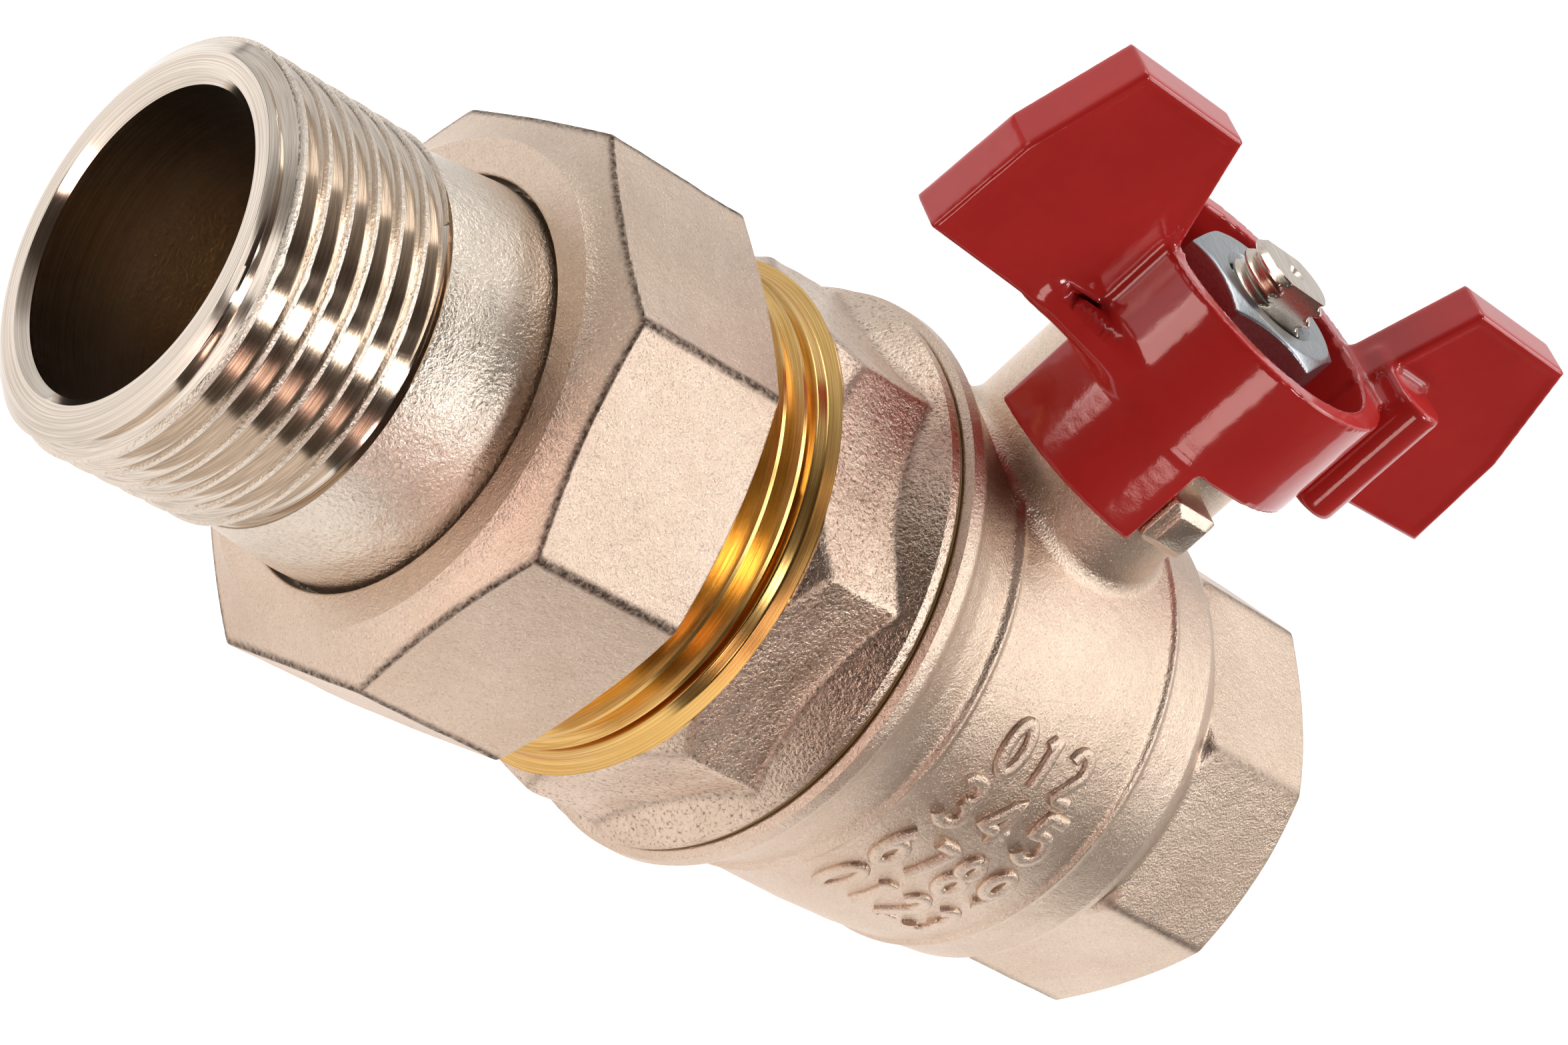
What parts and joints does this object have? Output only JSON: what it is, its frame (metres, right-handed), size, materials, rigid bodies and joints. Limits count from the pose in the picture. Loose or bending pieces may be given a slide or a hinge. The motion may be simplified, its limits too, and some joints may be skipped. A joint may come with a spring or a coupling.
{
  "type": "ball valve",
  "caption": "Straight ball valve with a winged turning handle, a threaded socket at one end and a union nut with a male threaded tail at the other.",
  "frame": {"origin": "centre of the female outlet's end face, on the pipe axis", "axes": "+X along the pipe out of the female outlet, +Z along the stem towards the handle, Y across"},
  "size_m": [0.1147, 0.05, 0.0796],
  "materials": {
    "cast_nickel": "sandblasted forging with nickel plate",
    "connector_brass": "nickel plated octagon, machined thread left in brass colour",
    "joint_sealant": "cured sealant",
    "nut_nickel": "sandblasted forging with nickel plate",
    "gasket_rubber": "moulded",
    "bright_nickel": "machined thread and sandblasted neck with nickel plate",
    "ball_chrome": "polished",
    "seat_ptfe": "white seal",
    "stem_nickel": "turned with nickel plate",
    "o_ring_rubber": "moulded",
    "gland_brass": "turned",
    "red_paint": "gloss",
    "zinc_steel": "zinc plated"
  },
  "bodies": {
    "shell": {"body": "cast_nickel", "end_connector": "connector_brass", "joint_seal": "joint_sealant", "seat_ring_inlet": "seat_ptfe", "seat_ring_outlet": "seat_ptfe", "union_gasket": "gasket_rubber", "packing_ring_lower": "seat_ptfe", "packing_ring_upper": "seat_ptfe", "gland_ring": "gland_brass", "gland_nut": "gland_brass"},
    "ball": {"ball": "ball_chrome"},
    "handle": {"stem": "stem_nickel", "stem_thrust_washer": "seat_ptfe", "stem_o_ring_lower": "o_ring_rubber", "stem_o_ring_upper": "o_ring_rubber", "handle": "red_paint", "spring_washer": "zinc_steel", "handle_nut": "zinc_steel"},
    "tail": {"tail_piece": "bright_nickel"},
    "nut": {"union_nut": "nut_nickel"}
  },
  "joints": [
    {"name": "handle_turn", "type": "hinge", "parent": "shell", "child": "handle", "pos_m": [-0.034, 0, 0], "axis": [0, 0, -1], "range_deg": [0, 90]},
    {"name": "ball_turn", "type": "hinge", "parent": "shell", "child": "ball", "pos_m": [-0.034, 0, 0], "axis": [0, 0, -1], "range_deg": [0, 90]},
    {"name": "tail_slide", "type": "slide", "parent": "shell", "child": "tail", "axis": [-1, 0, 0], "range_m": [0, 0.00924]},
    {"name": "union_nut_turn", "type": "hinge", "parent": "tail", "child": "nut", "pos_m": [-0.08, 0, 0], "axis": [-1, 0, 0], "range_deg": [0, 1440]}
  ],
  "couplings": [
    {"joint": "ball_turn", "follows": "handle_turn", "ratio": 1},
    {"joint": "tail_slide", "follows": "union_nut_turn", "m_per_rad": 0.00036749}
  ]
}
